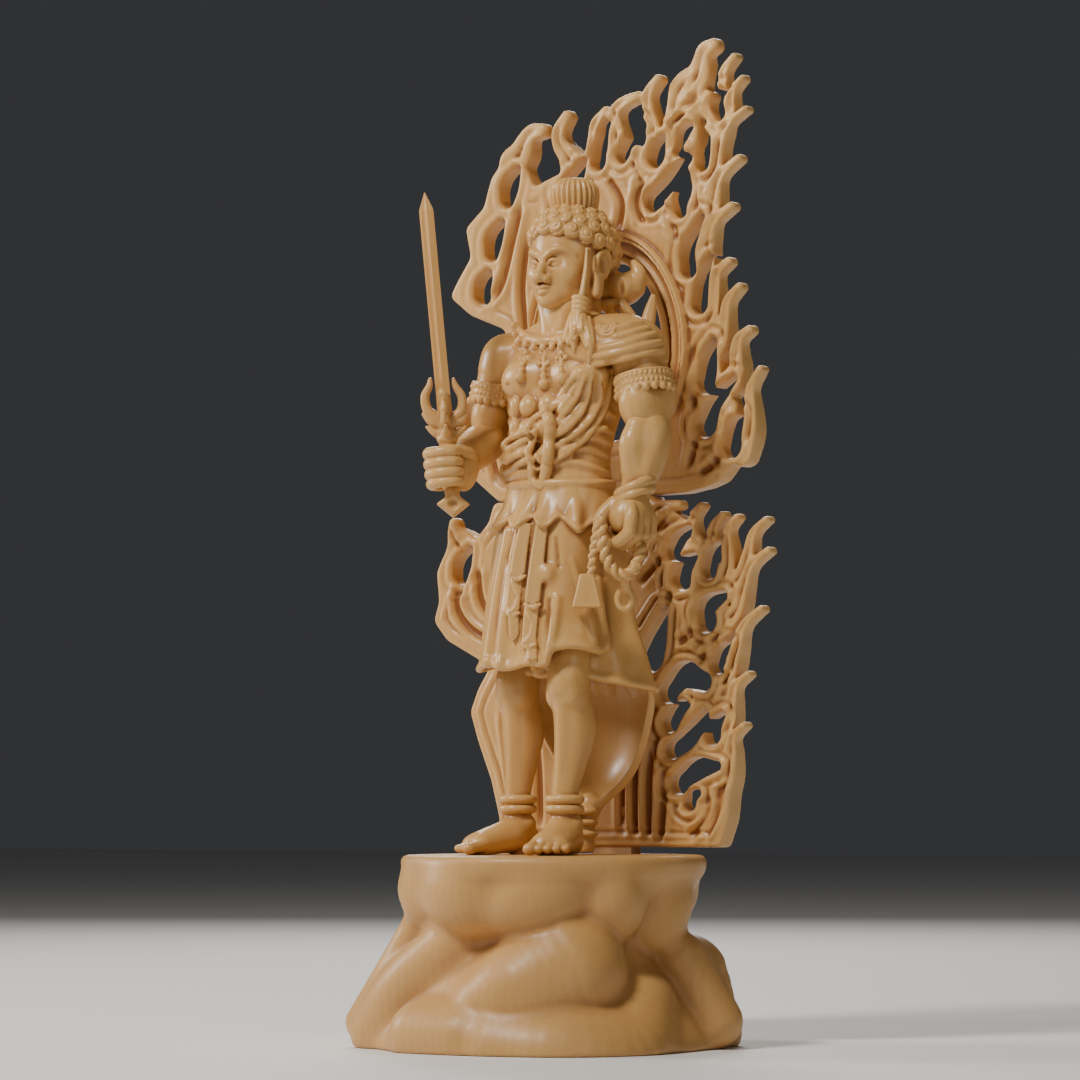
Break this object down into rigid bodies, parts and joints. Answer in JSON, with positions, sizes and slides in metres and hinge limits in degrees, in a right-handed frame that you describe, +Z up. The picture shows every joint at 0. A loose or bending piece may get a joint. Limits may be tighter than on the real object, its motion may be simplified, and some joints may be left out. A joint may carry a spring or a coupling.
{
  "type": "carved guardian figure on a rock pedestal",
  "caption": "Carved wooden guardian figure with sword and rope, standing on a rock pedestal in front of an openwork flame aureole; parts peg together.",
  "frame": {"origin": "centre of the pedestal's flat underside", "axes": "+Z up, the figure faces -Y, the figure's left side is +X"},
  "size_m": [0.125, 0.115, 0.2986],
  "materials": {
    "rock_wood": "satin oiled boxwood",
    "figure_wood": "satin oiled boxwood",
    "flame_wood": "satin oiled boxwood",
    "sword_wood": "satin oiled boxwood",
    "dowel_wood": "plain unpolished boxwood"
  },
  "bodies": {
    "pedestal": {"rock_pedestal": "rock_wood"},
    "figure": {"foot_pegs": "dowel_wood", "right_leg": "figure_wood", "left_leg": "figure_wood", "leg_dowels": "dowel_wood", "skirt": "figure_wood", "rear_drape": "figure_wood", "waist_dowel": "dowel_wood", "torso": "figure_wood", "shoulder_dowels": "dowel_wood", "neck_dowel": "dowel_wood", "head": "figure_wood", "topknot": "figure_wood", "hair_lock": "figure_wood", "nape_bow": "figure_wood", "right_upper_arm": "figure_wood", "right_forearm": "figure_wood", "right_hand": "figure_wood", "left_upper_arm": "figure_wood", "left_forearm": "figure_wood", "left_hand": "figure_wood", "wrist_dowels": "dowel_wood", "rope_lasso": "figure_wood", "rope_weight": "figure_wood", "sword_pommel": "sword_wood"},
    "sword": {"sword_guard": "sword_wood", "sword_blade": "sword_wood"},
    "aureole": {"aureole_tenon": "dowel_wood", "aureole_lower": "flame_wood", "aureole_dowels": "dowel_wood", "aureole_upper": "flame_wood"}
  },
  "joints": [
    {"name": "figure_lift", "type": "slide", "parent": "pedestal", "child": "figure", "axis": [0, 0, 1], "range_m": [0, 0.014]},
    {"name": "aureole_lift", "type": "slide", "parent": "pedestal", "child": "aureole", "axis": [0, 0, 1], "range_m": [0, 0.014]},
    {"name": "sword_draw", "type": "slide", "parent": "figure", "child": "sword", "axis": [-0.0747, -0.0548, 0.9957], "range_m": [0, 0.013]}
  ]
}
